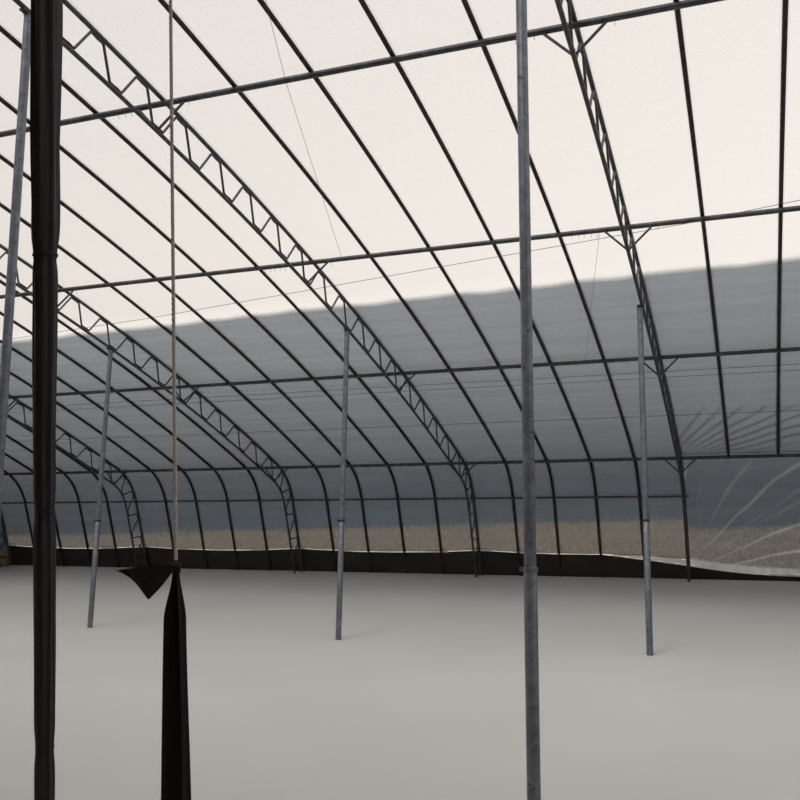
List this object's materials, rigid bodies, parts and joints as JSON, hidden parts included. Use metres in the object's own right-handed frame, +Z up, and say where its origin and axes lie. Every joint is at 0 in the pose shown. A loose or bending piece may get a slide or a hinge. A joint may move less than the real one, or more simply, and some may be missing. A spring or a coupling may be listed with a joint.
{
  "type": "solar greenhouse",
  "caption": "Single-slope greenhouse of bent steel ribs and laced trusses on posts, clad in translucent film, closed behind by a solid wall and a short rear roof.",
  "frame": {"origin": "centre of the footprint on the ground", "axes": "X along the house, the low film-covered front faces -Y, the solid rear wall +Y, Z up"},
  "size_m": [18.0546, 14.8504, 5.4543],
  "materials": {
    "masonry": "rendered masonry",
    "roof_panel": "coated sheet",
    "weathered_pipe": "weathered, dark",
    "galvanised_pipe": "galvanised, weathered",
    "post_pipe": "galvanised",
    "dark_clamp": "dark",
    "wire": "drawn wire",
    "clear_film": "translucent film",
    "black_film": "black film",
    "dark_wrap": "wrinkled dark sheeting",
    "black_cloth": "woven",
    "rope": "twisted"
  },
  "bodies": {
    "root": {"cloth_flag": "black_cloth", "cloth_strip": "black_cloth", "eave_purlin": "galvanised_pipe", "end_films": "clear_film", "end_frame_left": "galvanised_pipe", "end_frame_right": "galvanised_pipe", "end_skirts": "black_film", "front_film": "clear_film", "front_posts": "post_pipe", "front_skirt": "black_film", "knee_braces_front": "galvanised_pipe", "knee_braces_rear": "galvanised_pipe", "loose_film": "clear_film", "loose_film_hem": "clear_film", "lower_purlin": "galvanised_pipe", "main_film": "clear_film", "middle_purlin": "galvanised_pipe", "post_collars": "dark_clamp", "post_head_plates": "galvanised_pipe", "pull_rope": "rope", "rear_posts": "post_pipe", "rear_purlin": "galvanised_pipe", "rear_roof": "roof_panel", "rear_wall": "masonry", "ribs_bay_1": "weathered_pipe", "ribs_bay_2": "weathered_pipe", "ribs_bay_3": "weathered_pipe", "ribs_bay_4": "weathered_pipe", "ribs_bay_5": "weathered_pipe", "ribs_bay_6": "weathered_pipe", "ridge_purlin": "galvanised_pipe", "rope_knots": "rope", "shoulder_rail": "galvanised_pipe", "taut_wires": "wire", "truss_1": "galvanised_pipe", "truss_2": "galvanised_pipe", "truss_3": "galvanised_pipe", "truss_4": "galvanised_pipe", "truss_5": "galvanised_pipe", "truss_6": "galvanised_pipe", "truss_7": "galvanised_pipe", "upper_purlin": "galvanised_pipe", "vent_film": "clear_film", "vent_purlin": "galvanised_pipe", "wrapped_prop": "dark_wrap"}
  },
  "joints": []
}
